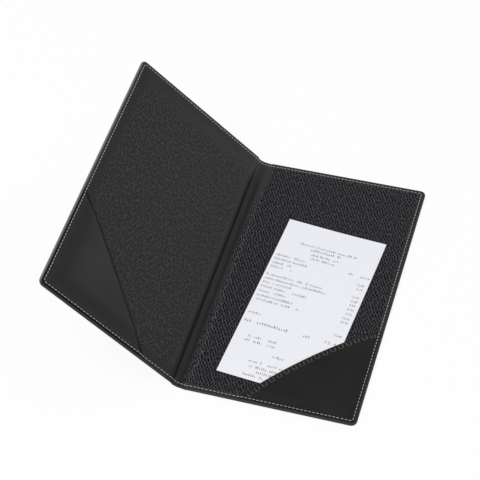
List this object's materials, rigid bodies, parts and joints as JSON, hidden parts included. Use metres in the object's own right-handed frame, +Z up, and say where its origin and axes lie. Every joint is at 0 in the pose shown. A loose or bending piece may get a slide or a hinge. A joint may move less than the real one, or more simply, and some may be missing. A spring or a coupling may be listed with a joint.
{
  "type": "guest check presenter",
  "caption": "Open book-style bill folder in black leatherette with sewn rim, soft spine, two corner pockets and a removable till slip.",
  "frame": {"origin": "middle of the right panel's underside, where the open folder lies on the table", "axes": "+Z up, +X from the spine across the right panel, +Y up the page towards the head"},
  "size_m": [0.2299, 0.229, 0.0977],
  "materials": {
    "cover_leatherette": "fine pebble grain, satin",
    "embossed_lining": "embossed small-scale grain, satin",
    "pocket_leatherette": "smooth, soft satin",
    "seam_thread": "twisted polyester sewing thread, light grey",
    "overcast_thread": "twisted polyester sewing thread, dark grey",
    "greyboard": "uncoated",
    "filler_paper": "uncoated",
    "till_paper": "smooth thermal paper with grey print"
  },
  "bodies": {
    "right_panel": {"right_outer_cover": "cover_leatherette", "right_board": "greyboard", "right_filler": "filler_paper", "right_lining": "embossed_lining", "right_pocket": "pocket_leatherette", "right_pocket_overcast": "overcast_thread", "right_seam_needle_thread": "seam_thread", "right_seam_bobbin_thread": "seam_thread", "right_crease_cover": "cover_leatherette", "right_crease_lining": "embossed_lining"},
    "spine": {"spine_outer_cover": "cover_leatherette", "spine_lining": "embossed_lining", "spine_seam_needle_thread": "seam_thread", "spine_seam_bobbin_thread": "seam_thread"},
    "left_panel": {"left_outer_cover": "cover_leatherette", "left_board": "greyboard", "left_filler": "filler_paper", "left_lining": "embossed_lining", "left_pocket": "pocket_leatherette", "left_seam_needle_thread": "seam_thread", "left_seam_bobbin_thread": "seam_thread", "left_crease_cover": "cover_leatherette", "left_crease_lining": "embossed_lining"},
    "guest_check": {"guest_check": "till_paper"}
  },
  "joints": [
    {"name": "spine_fold", "type": "hinge", "parent": "right_panel", "child": "spine", "pos_m": [-0.0659, 0, 0.0003], "axis": [0, 1, 0], "range_deg": [-25, 65], "deforming": ["right_crease_cover", "right_crease_lining"]},
    {"name": "cover_fold", "type": "hinge", "parent": "spine", "child": "left_panel", "pos_m": [-0.07514, 0, 0.00461], "axis": [0, 1, 0], "range_deg": [-20, 70], "deforming": ["left_crease_cover", "left_crease_lining"]},
    {"name": "check_slide", "type": "slide", "parent": "right_panel", "child": "guest_check", "axis": [0.0889, 0.996, 0], "range_m": [0, 0.235]}
  ]
}
